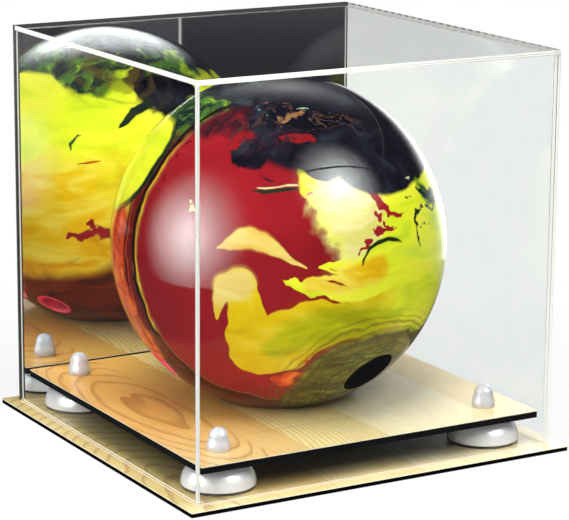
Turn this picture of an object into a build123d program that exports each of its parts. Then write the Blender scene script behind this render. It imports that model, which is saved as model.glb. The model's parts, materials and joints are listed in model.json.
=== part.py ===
from build123d import *
import math
import os

os.makedirs("parts", exist_ok=True)

# Display case for one bowling ball. Millimetres, +Z up.
# X runs left to right along the front panel and Y from the front panel back to the mirror.
# The origin is the centre of the base board's underside.

# The ball that the case is sized for
ball_diameter = 217.0
coverstock_thickness = 24.0
weight_block_width = 64.0
weight_block_foot_width = 40.0
weight_block_length = 78.0
weight_block_rise = 10.9
pour_gap = 0.05

# Thumb hole. Its turn angle goes from the front towards the right, its rise angle up from level,
# in degrees, both to the middle of its mouth.
thumb_turn_angle = 15.7
thumb_rise_angle = -41.8
slug_diameter = 36.0
slug_length = 58.0
thumb_bore = 25.0
thumb_depth = 50.0

# Finger holes, near and far as seen from the thumb. They are drilled side by side,
# both square to the ball half way between their mouths.
near_finger_turn_angle = -95.4
near_finger_rise_angle = -42.5
far_finger_turn_angle = -119.7
far_finger_rise_angle = -50.0
insert_diameter = 25.4
insert_length = 24.0
finger_bore = 19.5
finger_hole_depth = 46.0
bore_bevel = 1.2
insert_fit = 0.05

# Lift-off cover
panel_thickness = 3.0
ball_side_gap = 15.5
ball_head_gap = 21.3

# Base board and its printed skin
base_margin = 8.75
base_core_thickness = 2.5
print_thickness = 0.5
board_corner_radius = 0.8

# Riser board
riser_edge_gap = 2.5
riser_core_thickness = 4.0
seat_diameter = 88.9
seat_gap = 0.3

# Feet, pads, studs and cap nuts
foot_diameter = 46.2
foot_height = 15.6
foot_rim_radius = 0.5
foot_edge_inset = 1.75
pad_thickness = 1.8
pad_inset = 0.6
stud_diameter = 6.0
stud_in_foot = 11.0
stud_in_nut = 8.5
stud_fit = 0.05
stud_end_gap = 0.3
riser_hole_clearance = 0.3
nut_diameter = 14.8
nut_height = 14.7
nut_skirt_height = 6.4
nut_dome_diameter = 13.0
nut_dome_taper = 0.5
nut_lip = 0.45

# Heights and plan sizes that follow
base_top = base_core_thickness + print_thickness
foot_bottom = base_top + pad_thickness
foot_top = foot_bottom + foot_height
riser_core_top = foot_top + riser_core_thickness
riser_top = riser_core_top + print_thickness

ball_radius = ball_diameter / 2
seat_radius = seat_diameter / 2
ball_height_in_seat = math.sqrt((ball_radius + seat_gap) ** 2 - seat_radius**2)
ball_centre = (0, 0, riser_top + ball_height_in_seat)

inner_width = ball_diameter + 2 * ball_side_gap
cover_width = inner_width + 2 * panel_thickness
cover_ceiling = ball_centre[2] + ball_radius + ball_head_gap
wall_height = cover_ceiling - base_top
base_width = cover_width + 2 * base_margin
riser_width = inner_width - 2 * riser_edge_gap
wall_offset = (inner_width + panel_thickness) / 2
foot_radius = foot_diameter / 2
foot_offset = riser_width / 2 - foot_edge_inset - foot_radius

corners = {
    "front_left": (-foot_offset, -foot_offset),
    "front_right": (foot_offset, -foot_offset),
    "back_left": (-foot_offset, foot_offset),
    "back_right": (foot_offset, foot_offset),
}


def finish(part, name):
    """Labels a finished piece and writes it as its own node."""
    part.part.label = name
    export_step(part.part, f"parts/{name}.step")
    box = part.part.bounding_box()
    print(f"{name:26s} {box.size.X:8.2f} {box.size.Y:8.2f} {box.size.Z:8.2f}")


def upright(x, y, z):
    """The plane in which a piece that is round about a vertical axis is drawn."""
    return Plane(origin=(x, y, z), x_dir=(1, 0, 0), z_dir=(0, -1, 0))


def outward(turn_angle, rise_angle):
    """The direction from the ball's centre to this place on its surface."""
    turn = math.radians(turn_angle)
    rise = math.radians(rise_angle)
    return Vector(
        math.sin(turn) * math.cos(rise),
        -math.cos(turn) * math.cos(rise),
        math.sin(rise),
    )


# Base board: a thin black board that the cover and the riser's feet stand on
with BuildPart() as base_board:
    with BuildSketch():
        RectangleRounded(base_width, base_width, board_corner_radius)
    extrude(amount=base_core_thickness)
finish(base_board, "base_board")

# The printed skin is glued over the whole of the board
with BuildPart() as base_lane_print:
    with BuildSketch(Plane.XY.offset(base_core_thickness)):
        RectangleRounded(base_width, base_width, board_corner_radius)
    extrude(amount=print_thickness)
finish(base_lane_print, "base_lane_print")

# Cover: the front and the mirror run the full width, the sides fit between them,
# and the top lies on all four
with BuildPart() as cover_front_panel:
    with BuildSketch(Plane.XY.offset(base_top)):
        with Locations((0, -wall_offset)):
            Rectangle(cover_width, panel_thickness)
    extrude(amount=wall_height)
finish(cover_front_panel, "cover_front_panel")

with BuildPart() as mirror_back_panel:
    with BuildSketch(Plane.XY.offset(base_top)):
        with Locations((0, wall_offset)):
            Rectangle(cover_width, panel_thickness)
    extrude(amount=wall_height)
finish(mirror_back_panel, "mirror_back_panel")

with BuildPart() as cover_left_panel:
    with BuildSketch(Plane.XY.offset(base_top)):
        with Locations((-wall_offset, 0)):
            Rectangle(panel_thickness, inner_width)
    extrude(amount=wall_height)
finish(cover_left_panel, "cover_left_panel")

with BuildPart() as cover_right_panel:
    with BuildSketch(Plane.XY.offset(base_top)):
        with Locations((wall_offset, 0)):
            Rectangle(panel_thickness, inner_width)
    extrude(amount=wall_height)
finish(cover_right_panel, "cover_right_panel")

with BuildPart() as cover_top_panel:
    with BuildSketch(Plane.XY.offset(cover_ceiling)):
        Rectangle(cover_width, cover_width)
    extrude(amount=panel_thickness)
finish(cover_top_panel, "cover_top_panel")

# Riser board: black, with a round hole that the ball settles into and a hole for each stud
stud_hole_radius = stud_diameter / 2 + riser_hole_clearance

with BuildPart() as riser_board:
    with BuildSketch(Plane.XY.offset(foot_top)):
        RectangleRounded(riser_width, riser_width, board_corner_radius)
        Circle(seat_radius, mode=Mode.SUBTRACT)
        with Locations(*corners.values()):
            Circle(stud_hole_radius, mode=Mode.SUBTRACT)
    extrude(amount=riser_core_thickness)
finish(riser_board, "riser_board")

with BuildPart() as riser_lane_print:
    with BuildSketch(Plane.XY.offset(riser_core_top)):
        RectangleRounded(riser_width, riser_width, board_corner_radius)
        Circle(seat_radius, mode=Mode.SUBTRACT)
        with Locations(*corners.values()):
            Circle(stud_hole_radius, mode=Mode.SUBTRACT)
    extrude(amount=print_thickness)
finish(riser_lane_print, "riser_lane_print")

# Feet: a low dome under each corner, widest at its rim, on a thin pad,
# clamped by a stud that runs up through the riser into a domed cap nut
stud_radius = stud_diameter / 2
stud_socket_radius = stud_radius + stud_fit
nut_radius = nut_diameter / 2
nut_dome_radius = nut_dome_diameter / 2
nut_cap_radius = nut_dome_radius - nut_dome_taper
foot_crown_radius = foot_height - foot_rim_radius
foot_crown_centre = foot_radius - foot_crown_radius

for corner, (x, y) in corners.items():
    upright_axis = Axis((x, y, 0), (0, 0, 1))

    with BuildPart() as foot:
        with BuildSketch(upright(x, y, foot_bottom)):
            with BuildLine():
                Polyline(
                    (foot_crown_centre, foot_height),
                    (0, foot_height),
                    (0, 0),
                    (foot_radius - foot_rim_radius, 0),
                )
                CenterArc((foot_radius - foot_rim_radius, foot_rim_radius), foot_rim_radius, 270, 90)
                CenterArc((foot_crown_centre, foot_rim_radius), foot_crown_radius, 0, 90)
            make_face()
        revolve(axis=upright_axis)
        with BuildSketch(Plane.XY.offset(foot_top)):
            with Locations((x, y)):
                Circle(stud_socket_radius)
        extrude(amount=-(stud_in_foot + stud_end_gap), mode=Mode.SUBTRACT)
    finish(foot, f"foot_{corner}")

    with BuildPart() as foot_pad:
        with BuildSketch(Plane.XY.offset(base_top)):
            with Locations((x, y)):
                Circle(foot_radius - pad_inset)
        extrude(amount=pad_thickness)
    finish(foot_pad, f"foot_pad_{corner}")

    with BuildPart() as stud:
        with BuildSketch(Plane.XY.offset(foot_top - stud_in_foot)):
            with Locations((x, y)):
                Circle(stud_radius)
        extrude(amount=stud_in_foot + riser_top - foot_top + stud_in_nut)
        chamfer(stud.edges().filter_by(GeomType.CIRCLE), stud_radius * 0.2)
    finish(stud, f"stud_{corner}")

    with BuildPart() as cap_nut:
        with BuildSketch(upright(x, y, riser_top)):
            with BuildLine():
                Polyline((0, nut_height), (0, 0), (nut_radius - nut_lip, 0))
                ThreePointArc(
                    (nut_radius - nut_lip, 0),
                    (nut_radius, nut_skirt_height * 0.4),
                    (nut_radius - nut_lip, nut_skirt_height * 0.8),
                )
                Polyline(
                    (nut_radius - nut_lip, nut_skirt_height * 0.8),
                    (nut_dome_radius, nut_skirt_height),
                    (nut_cap_radius, nut_height - nut_cap_radius),
                )
                CenterArc((0, nut_height - nut_cap_radius), nut_cap_radius, 0, 90)
            make_face()
        revolve(axis=upright_axis)
        with BuildSketch(Plane.XY.offset(riser_top)):
            with Locations((x, y)):
                Circle(stud_socket_radius)
        extrude(amount=stud_in_nut + stud_end_gap, mode=Mode.SUBTRACT)
    finish(cap_nut, f"cap_nut_{corner}")

# Ball: a thick coverstock poured round a filler core, which holds a heavy weight block.
# The thumb hole takes a slug and each finger hole a soft insert.
filler_radius = ball_radius - coverstock_thickness
past_surface = bore_bevel * 2
slug_hole_radius = slug_diameter / 2
insert_hole_radius = insert_diameter / 2

thumb_way = outward(thumb_turn_angle, thumb_rise_angle)
near_finger_mouth = outward(near_finger_turn_angle, near_finger_rise_angle)
far_finger_mouth = outward(far_finger_turn_angle, far_finger_rise_angle)
finger_way = (near_finger_mouth + far_finger_mouth).normalized()

thumb_mouth_point = Vector(ball_centre) + thumb_way * ball_radius
finger_mouth_points = {
    "near": Vector(ball_centre) + near_finger_mouth * ball_radius,
    "far": Vector(ball_centre) + far_finger_mouth * ball_radius,
}


def across(mouth_point, way, depth, radius):
    """A disc across one of the ball's holes, this deep below the middle of its mouth."""
    with BuildSketch(Plane(origin=mouth_point - way * depth, z_dir=way)) as disc:
        Circle(radius)
    return disc.sketch


slug_disc = across(thumb_mouth_point, thumb_way, slug_length, slug_hole_radius)
finger_discs = [
    across(mouth_point, finger_way, finger_hole_depth, insert_hole_radius)
    for mouth_point in finger_mouth_points.values()
]
past_fingers = finger_hole_depth + insert_diameter
past_thumb = slug_length + past_surface

with BuildPart() as ball_coverstock:
    with Locations(ball_centre):
        Sphere(ball_radius)
        Sphere(filler_radius, mode=Mode.SUBTRACT)
    extrude(slug_disc, amount=past_thumb, mode=Mode.SUBTRACT)
    for finger_disc in finger_discs:
        extrude(finger_disc, amount=past_fingers, mode=Mode.SUBTRACT)
finish(ball_coverstock, "ball_coverstock")

# Weight block: a bulb of two round ends, the wide one towards the top of the ball
block_wide_radius = weight_block_width / 2
block_narrow_radius = weight_block_foot_width / 2
block_wide_height = weight_block_rise
block_narrow_height = weight_block_rise - weight_block_length + weight_block_width / 2
block_narrow_height += block_narrow_radius
block_flank = (block_wide_radius - block_narrow_radius) / (block_wide_height - block_narrow_height)
flank_tilt = math.degrees(math.asin(block_flank))


def weight_block_outline(grow):
    """Half the block's outline, larger all round by this much for the hollow it fills."""
    with BuildSketch(upright(*ball_centre)) as outline:
        with BuildLine():
            wide = CenterArc(
                (0, block_wide_height), block_wide_radius + grow, 90, -90 - flank_tilt
            )
            narrow = CenterArc(
                (0, block_narrow_height), block_narrow_radius + grow, -flank_tilt, flank_tilt - 90
            )
            Line(wide @ 1, narrow @ 0)
            Line(narrow @ 1, wide @ 0)
        make_face()
    return outline.sketch


with BuildPart() as ball_weight_block:
    revolve(weight_block_outline(0), axis=Axis.Z)
finish(ball_weight_block, "ball_weight_block")

with BuildPart() as ball_filler_core:
    with Locations(ball_centre):
        Sphere(filler_radius - pour_gap)
    revolve(weight_block_outline(pour_gap), axis=Axis.Z, mode=Mode.SUBTRACT)
    extrude(slug_disc, amount=past_thumb, mode=Mode.SUBTRACT)
    for finger_disc in finger_discs:
        extrude(finger_disc, amount=past_fingers, mode=Mode.SUBTRACT)
finish(ball_filler_core, "ball_filler_core")

# Thumb slug: flush with the ball, open at the thumb bore and closed at its inner end
slug_body = across(thumb_mouth_point, thumb_way, slug_length, slug_hole_radius - insert_fit)
thumb_disc = across(thumb_mouth_point, thumb_way, thumb_depth, thumb_bore / 2)

with BuildPart() as thumb_slug:
    extrude(slug_body, amount=past_thumb)
    with Locations(ball_centre):
        Sphere(ball_radius, mode=Mode.INTERSECT)
    extrude(thumb_disc, amount=thumb_depth + past_surface, mode=Mode.SUBTRACT)
    chamfer(thumb_slug.edges().sort_by_distance(thumb_mouth_point)[0], bore_bevel)
finish(thumb_slug, "thumb_slug")

# Finger inserts: soft sleeves, flush with the ball and open at both ends
for finger, mouth_point in finger_mouth_points.items():
    sleeve = across(mouth_point, finger_way, insert_length, insert_hole_radius - insert_fit)
    bore = across(mouth_point, finger_way, insert_length, finger_bore / 2)

    with BuildPart() as finger_insert:
        extrude(sleeve - bore, amount=past_fingers)
        with Locations(ball_centre):
            Sphere(ball_radius, mode=Mode.INTERSECT)
        chamfer(finger_insert.edges().sort_by_distance(mouth_point)[0], bore_bevel)
    finish(finger_insert, f"finger_insert_{finger}")

print(f"ball centre {ball_centre[2]:.2f}, cover {cover_width:.1f}, ceiling {cover_ceiling:.2f}")
print(f"riser {riser_width:.1f}, top {riser_top:.2f}, base {base_width:.1f}, feet {foot_offset:.2f}")
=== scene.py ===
import json
import math

import bmesh
import bpy
from mathutils import Matrix, Vector

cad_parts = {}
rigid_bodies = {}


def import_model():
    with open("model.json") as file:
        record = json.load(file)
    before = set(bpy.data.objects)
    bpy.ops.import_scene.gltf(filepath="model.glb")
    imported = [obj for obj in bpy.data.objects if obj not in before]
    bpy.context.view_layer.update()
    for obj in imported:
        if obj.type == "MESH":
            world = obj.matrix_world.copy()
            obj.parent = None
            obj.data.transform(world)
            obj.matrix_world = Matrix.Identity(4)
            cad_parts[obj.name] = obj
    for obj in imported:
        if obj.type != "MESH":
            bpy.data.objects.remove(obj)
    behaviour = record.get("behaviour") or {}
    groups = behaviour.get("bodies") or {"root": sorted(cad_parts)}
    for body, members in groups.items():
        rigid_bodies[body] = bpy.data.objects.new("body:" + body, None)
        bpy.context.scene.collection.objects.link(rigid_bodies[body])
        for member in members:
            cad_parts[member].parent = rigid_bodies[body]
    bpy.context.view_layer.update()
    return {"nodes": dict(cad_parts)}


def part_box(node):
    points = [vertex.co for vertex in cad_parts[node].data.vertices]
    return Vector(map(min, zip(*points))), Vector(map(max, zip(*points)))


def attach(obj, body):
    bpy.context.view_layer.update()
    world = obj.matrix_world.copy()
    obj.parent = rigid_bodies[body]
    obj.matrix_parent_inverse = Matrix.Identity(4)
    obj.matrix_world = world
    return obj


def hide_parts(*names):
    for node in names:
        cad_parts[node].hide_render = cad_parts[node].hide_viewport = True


for leftover in list(bpy.data.objects):
    bpy.data.objects.remove(leftover)

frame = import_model()
nodes = frame["nodes"]
mm = 0.001
smooth = {"interpolation_type": "SMOOTHSTEP"}

# The camera stands about 1.6 m from the middle of the case, out past its front left corner, and
# looks a little down at it. Its place, turn and lens were fitted to the case's seen corners.
camera_place = Vector((-0.7994, -1.3781, 0.4885))
camera_turn = math.radians(30.27)
camera_dip = math.radians(13.30)
camera_roll = math.radians(0.416)

ahead = Vector(
    (
        math.sin(camera_turn) * math.cos(camera_dip),
        math.cos(camera_turn) * math.cos(camera_dip),
        -math.sin(camera_dip),
    )
)
level_right = Vector((math.cos(camera_turn), -math.sin(camera_turn), 0))
level_up = level_right.cross(ahead)
camera_right = level_right * math.cos(camera_roll) + level_up * math.sin(camera_roll)
camera_up = level_up * math.cos(camera_roll) - level_right * math.sin(camera_roll)

camera = bpy.data.objects.new("camera", bpy.data.cameras.new("camera"))
camera.data.lens = 160.28
camera.data.sensor_width = 36
camera.matrix_world = Matrix.Translation(camera_place) @ Matrix(
    (camera_right, camera_up, -ahead)
).transposed().to_4x4()
bpy.context.scene.collection.objects.link(camera)
bpy.context.scene.camera = camera
bpy.context.scene.view_settings.view_transform = "Standard"


# Base board: a thin square of black acrylic sheet, laser cut, that the whole case stands on.
# Its face is satin and its cut edge shows the fine upright marks of the beam.
def colour(code):
    """An sRGB hex value such as "#1A1A1A" as linear red, green, blue and alpha."""
    parts = [int(code[at : at + 2], 16) / 255 for at in (1, 3, 5)]
    return [p / 12.92 if p <= 0.04045 else ((p + 0.055) / 1.055) ** 2.4 for p in parts] + [1.0]


def add(tree, kind, settings=None, links=None):
    """Adds one node to a tree, with its settings (hex for colours) and the links into it."""
    node = tree.nodes.new("ShaderNode" + kind)
    for name, value in (settings or {}).items():
        if isinstance(name, str) and hasattr(node, name):
            setattr(node, name, value)
        else:
            node.inputs[name].default_value = colour(value) if isinstance(value, str) else value
    for name, source in (links or {}).items():
        tree.links.new(getattr(source, "outputs", [source])[0], node.inputs[name])
    return node


def start_material(name, space="Object"):
    """A new material, its tree, and the place in the tree: metres, or a map if space names one."""
    made = bpy.data.materials.new(name)
    made.use_nodes = True
    made.node_tree.nodes.clear()
    return made, made.node_tree, add(made.node_tree, "TexCoord").outputs[space]


def dress(names, finish):
    """Gives CAD nodes their finish."""
    for name in names:
        nodes[name].data.materials.clear()
        nodes[name].data.materials.append(finish)


cut_mark_spacing = 0.5 * mm
satin_gleam = 0.0003
near_black = {"Color1": "#030303", "Color2": "#08080A"}

black_acrylic, tree, place = start_material("black_acrylic_sheet_laser_cut")
stretched = add(tree, "Mapping", {"Scale": (1, 1, 0.08)}, {"Vector": place})
cut_marks = add(
    tree, "TexNoise", {"Scale": 1 / cut_mark_spacing, "Detail": 2}, {"Vector": stretched}
)
smudges = add(tree, "TexNoise", {"Scale": 1 / (18 * mm), "Detail": 4}, {"Vector": place})
sheen = add(
    tree,
    "MapRange",
    {"From Min": 0.3, "From Max": 0.7, "To Min": 0.5, "To Max": 0.65},
    {"Value": smudges},
)
shade = add(tree, "MapRange", {"From Min": 0.3, "From Max": 0.7}, {"Value": cut_marks})
black = add(tree, "MixRGB", near_black, {"Fac": shade})
relief = add(tree, "Bump", {"Strength": 0.25, "Distance": 0.05 * mm}, {"Height": cut_marks})
satin = add(tree, "BsdfDiffuse", {}, {"Color": black, "Normal": relief})
gleam = add(tree, "BsdfGlossy", {}, {"Roughness": sheen, "Normal": relief})
surface = add(tree, "MixShader", {0: satin_gleam}, {1: satin, 2: gleam})
add(tree, "OutputMaterial", {}, {"Surface": surface})
dress(["base_board", "riser_board"], black_acrylic)


# Printed skins: glossy film with a picture of bowling-lane boards, glued over the base and riser.
# The boards run front to back, in pale maple with amber heart boards, and butt end to end.
def set_stops(ramp, stops):
    """Fills a colour ramp with stops, each a place and a hex value or four linear values."""
    elements = ramp.color_ramp.elements
    for step, (at, shade) in enumerate(stops):
        stop = elements[step] if step < 2 else elements.new(at)
        stop.position = at
        stop.color = colour(shade) if isinstance(shade, str) else shade


def lane_film(name, seams, tints, figure_x, figure_depth, figure_y, butt_y, butt_x, pale_y):
    """The film for one skin, in metres from its centre. butt_x and pale_y are a start and an end."""
    half_width = 0.15
    seam_width = 0.35 * mm
    ring_pitch = 2.0 * mm
    ring_stretch = 0.32
    ring_waver = 2.2
    fibre_pitch = 0.9 * mm
    fibre_stretch = 0.035
    fibre_strength = 0.28
    line_strength = 0.45

    made, tree, place = start_material(name)
    parts = add(tree, "SeparateXYZ", {}, {"Vector": place})
    sideways, along = (parts.outputs[axis] for axis in "XY")

    def along_x(x):
        return (x + half_width) / (2 * half_width)

    def stain(wood, code, share):
        settings = {"blend_type": "MULTIPLY", "Color2": code}
        return add(tree, "MixRGB", settings, {"Color1": wood, "Fac": share})

    across = add(
        tree, "MapRange", {"From Min": -half_width, "From Max": half_width}, {"Value": sideways}
    )
    starts = [along_x(x) for x in [-half_width] + seams]
    figures = [(along_x(x), depth, 0, 1) for x, depth in zip(figure_x, figure_depth)]
    board_tint = add(tree, "ValToRGB", {}, {"Fac": across})
    board_figure = add(tree, "ValToRGB", {}, {"Fac": across})
    for ramp, shades in ((board_tint, tints), (board_figure, figures)):
        ramp.color_ramp.interpolation = "CONSTANT"
        set_stops(ramp, zip(starts, shades))
    figure_parts = add(tree, "SeparateColor", {}, {"Color": board_figure.outputs["Color"]})

    seam_shade = add(tree, "ValToRGB", {}, {"Fac": across})
    seam_stops = [(0, "#000000"), (1, "#000000")]
    for x in seams:
        for offset, shade in ((-1, "#000000"), (0, "#FFFFFF"), (1, "#000000")):
            seam_stops.append((along_x(x + offset * seam_width), shade))
    set_stops(seam_shade, seam_stops)

    # A board's figure is a set of long nested rings, cut by the board's own seams
    centre_x = add(
        tree,
        "MapRange",
        {"To Min": -half_width, "To Max": half_width},
        {"Value": figure_parts.outputs["Red"]},
    )
    off_centre = add(tree, "Math", {"operation": "SUBTRACT"}, {0: sideways, 1: centre_x})
    lengthwise = add(tree, "Math", {"operation": "ADD", 1: -figure_y}, {0: along})
    drawn_out = add(tree, "Math", {"operation": "MULTIPLY", 1: ring_stretch}, {0: lengthwise})
    ring_place = add(tree, "CombineXYZ", {}, {"X": off_centre, "Y": drawn_out, "Z": centre_x})
    waver = add(tree, "TexNoise", {"Scale": 1 / (30 * mm), "Detail": 2}, {"Vector": ring_place})
    ring_reach = add(tree, "VectorMath", {"operation": "LENGTH"}, {0: ring_place}).outputs["Value"]
    rings = add(tree, "Math", {"operation": "MULTIPLY", 1: 1 / ring_pitch}, {0: ring_reach})
    rings = add(tree, "Math", {"operation": "MULTIPLY_ADD", 1: ring_waver}, {0: waver, 2: rings})
    ring = add(tree, "Math", {"operation": "FRACT"}, {0: rings})
    ring_dark = add(
        tree, "MapRange", {**smooth, "From Min": 0.62, "From Max": 0.95}, {"Value": ring}
    )

    fibre_place = add(tree, "Mapping", {"Scale": (1, fibre_stretch, 1)}, {"Vector": place})
    fibres = add(
        tree,
        "TexNoise",
        {"Scale": 1 / fibre_pitch, "Detail": 3, "Roughness": 0.6},
        {"Vector": fibre_place},
    )
    fibre_dark = add(tree, "MapRange", {"From Min": 0.35, "From Max": 0.7}, {"Value": fibres})
    cloud = add(tree, "TexNoise", {"Scale": 1 / (60 * mm), "Detail": 3}, {"Vector": fibre_place})
    cloud_shade = add(
        tree, "MapRange", {"From Min": 0.3, "From Max": 0.7, "To Max": 0.35}, {"Value": cloud}
    )

    wood = add(
        tree,
        "MixRGB",
        {"Color2": "#F4E6B8"},
        {"Color1": board_tint.outputs["Color"], "Fac": cloud_shade},
    )
    # The print pales towards the front edge
    paling = add(
        tree,
        "MapRange",
        {"From Min": pale_y[0], "From Max": pale_y[1], "To Max": 0.4},
        {"Value": along},
    )
    wood = add(tree, "MixRGB", {"Color2": "#F6E8B8"}, {"Fac": paling, "Color1": wood})
    ring_share = add(
        tree, "Math", {"operation": "MULTIPLY"}, {0: ring_dark, 1: figure_parts.outputs["Green"]}
    )
    wood = stain(wood, "#A4702E", ring_share)
    fibre_share = add(tree, "Math", {"operation": "MULTIPLY", 1: fibre_strength}, {0: fibre_dark})
    wood = stain(wood, "#D2A055", fibre_share)

    # The butt joint crosses only some of the boards
    at_joint = add(tree, "Math", {"operation": "COMPARE", 1: butt_y, 2: seam_width}, {0: along})
    right_of = add(tree, "Math", {"operation": "GREATER_THAN", 1: butt_x[0]}, {0: sideways})
    left_of = add(tree, "Math", {"operation": "LESS_THAN", 1: butt_x[1]}, {0: sideways})
    butt = add(tree, "Math", {"operation": "MULTIPLY"}, {0: at_joint, 1: right_of})
    butt = add(tree, "Math", {"operation": "MULTIPLY"}, {0: butt, 1: left_of})
    lines = add(tree, "Math", {"operation": "MAXIMUM"}, {0: seam_shade.outputs["Color"], 1: butt})
    line_share = add(tree, "Math", {"operation": "MULTIPLY", 1: line_strength}, {0: lines})
    wood = stain(wood, "#8A5A28", line_share)

    # The film's own cut edge is white and catches the light as a thin cream rim
    normal = add(tree, "NewGeometry").outputs["Normal"]
    upward = add(tree, "SeparateXYZ", {}, {"Vector": normal}).outputs["Z"]
    on_rim = add(tree, "Math", {"operation": "LESS_THAN", 1: 0.5}, {0: upward})
    printed = add(tree, "MixRGB", {"Color2": "#F3EBD2"}, {"Color1": wood, "Fac": on_rim})

    ripple = add(tree, "TexNoise", {"Scale": 1 / (9 * mm), "Detail": 1}, {"Vector": place})
    relief = add(tree, "Bump", {"Strength": 0.04, "Distance": 0.2 * mm}, {"Height": ripple})
    surface = add(
        tree,
        "BsdfPrincipled",
        {"Roughness": 0.3, "Specular IOR Level": 0.2, "Coat Weight": 0.12, "Coat Roughness": 0.08},
        {"Base Color": printed, "Normal": relief},
    )
    add(tree, "OutputMaterial", {}, {"Surface": surface})
    return made


riser_film = lane_film(
    "printed_film_riser_boards",
    seams=[-0.0720, -0.0465, 0.0100, 0.0886],
    tints=["#D29C36", "#DAAE50", "#E6D48C", "#EEE4C4", "#EED698"],
    figure_x=[-0.0930, 0.0000, -0.0900, 0.1400, 0.0500],
    figure_depth=[0.50, 0.50, 0.45, 0.06, 0.25],
    figure_y=-0.005,
    butt_y=-0.0762,
    butt_x=(-0.0720, 0.0100),
    pale_y=(-0.0300, -0.1100),
)
base_film = lane_film(
    "printed_film_base_boards",
    seams=[-0.0950, -0.0350, 0.0280, 0.0900],
    tints=["#AA9854", "#D4B66C", "#D8C68C", "#D8CEA8", "#CCC096"],
    figure_x=[-0.1150, 0.0300, -0.1200, 0.0500, 0.1400],
    figure_depth=[0.50, 0.45, 0.40, 0.12, 0.22],
    figure_y=-0.150,
    butt_y=0.0400,
    butt_x=(-0.0950, 0.0280),
    pale_y=(-0.1150, -0.1350),
)
dress(["riser_lane_print"], riser_film)
dress(["base_lane_print"], base_film)


# Riser feet and cap nuts: injection-moulded white ABS, glossy, faintly blue in the shade.
# Each cap nut screws down on a zinc-plated stud that clamps the riser to its foot.
def cast(name, tones, grain, detail, settings, relief=0.0):
    """A plain moulded or cast stuff: two close shades in grains of one size, and their relief."""
    made, tree, place = start_material(name)
    grains = add(tree, "TexNoise", {"Scale": 1 / grain, "Detail": detail}, {"Vector": place})
    codes = {"Color1": tones[0], "Color2": tones[1]}
    links = {"Base Color": add(tree, "MixRGB", codes, {"Fac": grains})}
    if relief:
        depth = {"Strength": relief, "Distance": 0.1 * mm}
        links["Normal"] = add(tree, "Bump", depth, {"Height": grains})
    surface = add(tree, "BsdfPrincipled", settings, links)
    add(tree, "OutputMaterial", {}, {"Surface": surface})
    return made


corners = ("front_left", "front_right", "back_left", "back_right")

white_abs, tree, place = start_material("white_abs_moulded")
flow = add(tree, "TexNoise", {"Scale": 1 / (7 * mm), "Detail": 3}, {"Vector": place})
tone = add(tree, "MixRGB", {"Color1": "#E6E7EE", "Color2": "#F2F3F8"}, {"Fac": flow})
skin = add(tree, "TexNoise", {"Scale": 1 / (1.2 * mm), "Detail": 1}, {"Vector": place})
relief = add(tree, "Bump", {"Strength": 0.03, "Distance": 0.1 * mm}, {"Height": skin})
surface = add(
    tree,
    "BsdfPrincipled",
    {"Roughness": 0.16, "IOR": 1.54, "Subsurface Weight": 0.15, "Subsurface Scale": 0.8 * mm},
    {"Base Color": tone, "Normal": relief},
)
add(tree, "OutputMaterial", {}, {"Surface": surface})
dress([f"foot_{c}" for c in corners], white_abs)

# The nuts are nylon and let a little light through. They are a shade greyer than the feet: painted
# shade that holds down the overhead light on their tops.
white_nylon_painted_shade = cast(
    "white_nylon_moulded",
    ("#BEC0CA", "#CCCED6"),
    4 * mm,
    3,
    {"Roughness": 0.22, "IOR": 1.53, "Subsurface Weight": 0.3, "Subsurface Scale": 1.5 * mm},
    relief=0.03,
)
dress([f"cap_nut_{c}" for c in corners], white_nylon_painted_shade)

pad_rubber = cast(
    "black_rubber_pad", ("#0B0B0B", "#1A1A1A"), 0.8 * mm, 3, {"Roughness": 0.8}, relief=0.4
)
dress([f"foot_pad_{c}" for c in corners], pad_rubber)

# The wave texture's bands are 0.314 apart at a scale of 1
wave_bands = 0.314
thread_pitch = 1.0 * mm

zinc, tree, place = start_material("zinc_plated_steel_thread")
threads = add(
    tree,
    "TexWave",
    {"bands_direction": "Z", "wave_profile": "TRI", "Scale": wave_bands / thread_pitch},
    {"Vector": place},
)
spangle = add(tree, "TexNoise", {"Scale": 1 / (2 * mm), "Detail": 2}, {"Vector": place})
tone = add(tree, "MixRGB", {"Color1": "#9A9A9C", "Color2": "#C3C3C6"}, {"Fac": spangle})
relief = add(tree, "Bump", {"Strength": 0.8, "Distance": 0.3 * mm}, {"Height": threads})
surface = add(
    tree,
    "BsdfPrincipled",
    {"Metallic": 1.0, "Roughness": 0.35},
    {"Base Color": tone, "Normal": relief},
)
add(tree, "OutputMaterial", {}, {"Surface": surface})
dress([f"stud_{c}" for c in corners], zinc)


# The ball: poured polyester and urethane resins that ran into each other before they set,
# turned to a sphere and polished. Crimson, navy, lime, gold and olive pours, with fine swirls.
ball_radius = 108.5 * mm
ball_centre = (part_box("ball_coverstock")[0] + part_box("ball_coverstock")[1]) / 2

ball_resin, tree, place = start_material("poured_resin_polished")
on_ball = add(
    tree,
    "Mapping",
    {"vector_type": "TEXTURE", "Location": ball_centre, "Scale": [ball_radius] * 3},
    {"Vector": place},
)


def stir(before, scale, reach, detail):
    """Drags the pours about, the way the wet resin ran."""
    noise = add(tree, "TexNoise", {"Scale": scale, "Detail": detail}, {"Vector": before})
    push = add(
        tree,
        "VectorMath",
        {"operation": "MULTIPLY_ADD", 1: [reach * 2] * 3, 2: [-reach] * 3},
        {0: noise.outputs["Color"]},
    )
    return add(tree, "VectorMath", {"operation": "ADD"}, {0: before, 1: push})


calm = stir(stir(on_ball, 3.0, 0.04, 1), 9.0, 0.016, 1)
ragged = stir(calm, 13.0, 0.05, 3)
wild = stir(stir(calm, 5.0, 0.13, 2), 14.0, 0.04, 2)


def way_to(turn, rise):
    """The way out from the ball's middle, in degrees round from the front and up from level."""
    turn, rise = math.radians(turn), math.radians(rise)
    out = math.cos(rise)
    return Vector((math.sin(turn) * out, -math.cos(turn) * out, math.sin(rise)))


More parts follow.
